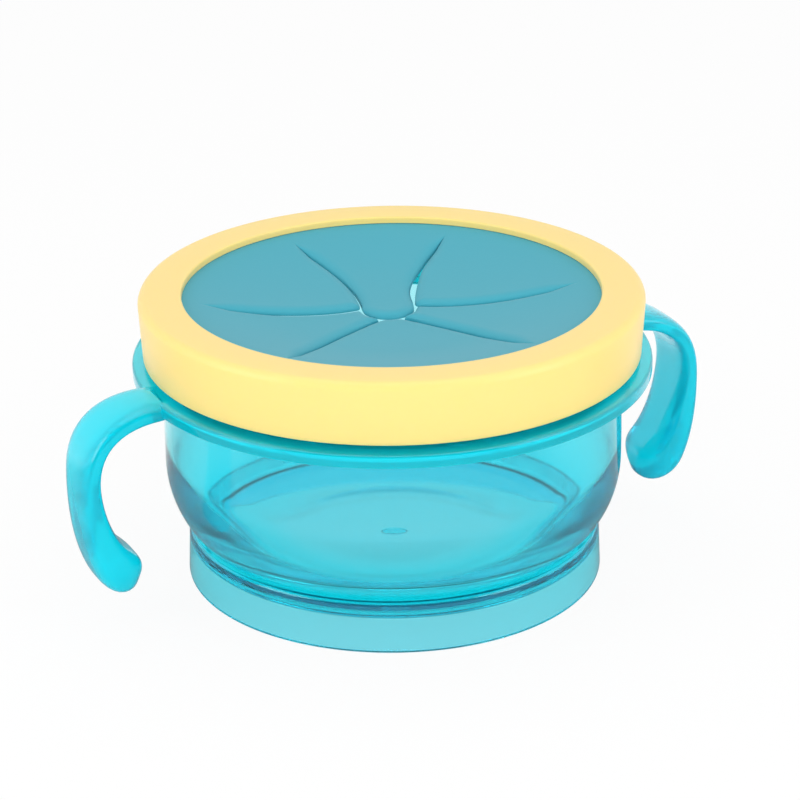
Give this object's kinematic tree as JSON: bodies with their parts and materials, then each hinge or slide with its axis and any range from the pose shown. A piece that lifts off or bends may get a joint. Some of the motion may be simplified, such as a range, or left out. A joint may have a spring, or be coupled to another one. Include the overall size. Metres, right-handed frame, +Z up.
{
  "type": "toddler snack container",
  "caption": "Two-handled toddler snack bowl with a screw ring that clamps a soft dished insert, whose flaps let a small hand in and keep the snacks in.",
  "frame": {"origin": "middle of the surface that the container stands on, under the middle of the bowl", "axes": "+Z up, out of the mouth of the bowl; +X through the right handle; +Y away from the front"},
  "size_m": [0.1594, 0.1212, 0.0696],
  "materials": {
    "bowl_plastic": "clear turquoise polypropylene, polished",
    "ring_plastic": "pale yellow polypropylene, semi-gloss",
    "insert_silicone": "teal silicone, matte"
  },
  "bodies": {
    "bowl": {"bowl": "bowl_plastic", "handle_left": "bowl_plastic", "handle_right": "bowl_plastic"},
    "insert": {"insert_rim": "insert_silicone"},
    "ring": {"screw_ring": "ring_plastic"},
    "flap_back": {"flap_back": "insert_silicone"},
    "flap_left_back": {"flap_left_back": "insert_silicone"},
    "flap_left_front": {"flap_left_front": "insert_silicone"},
    "flap_front": {"flap_front": "insert_silicone"},
    "flap_right_front": {"flap_right_front": "insert_silicone"},
    "flap_right_back": {"flap_right_back": "insert_silicone"}
  },
  "joints": [
    {"name": "insert_rise", "type": "slide", "parent": "bowl", "child": "insert", "axis": [0, 0, 1], "range_m": [0, 0.0121]},
    {"name": "ring_turn", "type": "hinge", "parent": "insert", "child": "ring", "pos_m": [0, 0, 0.0616], "axis": [0, 0, 1], "range_deg": [0, 360]},
    {"name": "flap_back_bend", "type": "hinge", "parent": "insert", "child": "flap_back", "pos_m": [0.01192, 0.03758, 0.06571], "axis": [0.9532, -0.3024, 0], "range_deg": [-45, 60], "stiffness_Nm_per_rad": 0.05},
    {"name": "flap_left_back_bend", "type": "hinge", "parent": "insert", "child": "flap_left_back", "pos_m": [-0.02316, 0.02922, 0.06548], "axis": [0.7837, 0.6211, 0], "range_deg": [-45, 60], "stiffness_Nm_per_rad": 0.05},
    {"name": "flap_left_front_bend", "type": "hinge", "parent": "insert", "child": "flap_left_front", "pos_m": [-0.03862, -0.00416, 0.06564], "axis": [-0.1071, 0.9942, 0], "range_deg": [-45, 60], "stiffness_Nm_per_rad": 0.05},
    {"name": "flap_front_bend", "type": "hinge", "parent": "insert", "child": "flap_front", "pos_m": [-0.01015, -0.03199, 0.0651], "axis": [-0.9532, 0.3024, 0], "range_deg": [-45, 60], "stiffness_Nm_per_rad": 0.05},
    {"name": "flap_right_front_bend", "type": "hinge", "parent": "insert", "child": "flap_right_front", "pos_m": [0.02916, -0.02566, 0.06564], "axis": [-0.6607, -0.7507, 0], "range_deg": [-45, 60], "stiffness_Nm_per_rad": 0.05},
    {"name": "flap_right_back_bend", "type": "hinge", "parent": "insert", "child": "flap_right_back", "pos_m": [0.03577, 0.01053, 0.06548], "axis": [0.2823, -0.9593, 0], "range_deg": [-45, 60], "stiffness_Nm_per_rad": 0.05}
  ],
  "couplings": [
    {"joint": "insert_rise", "follows": "ring_turn", "m_per_rad": 0.0019099}
  ]
}
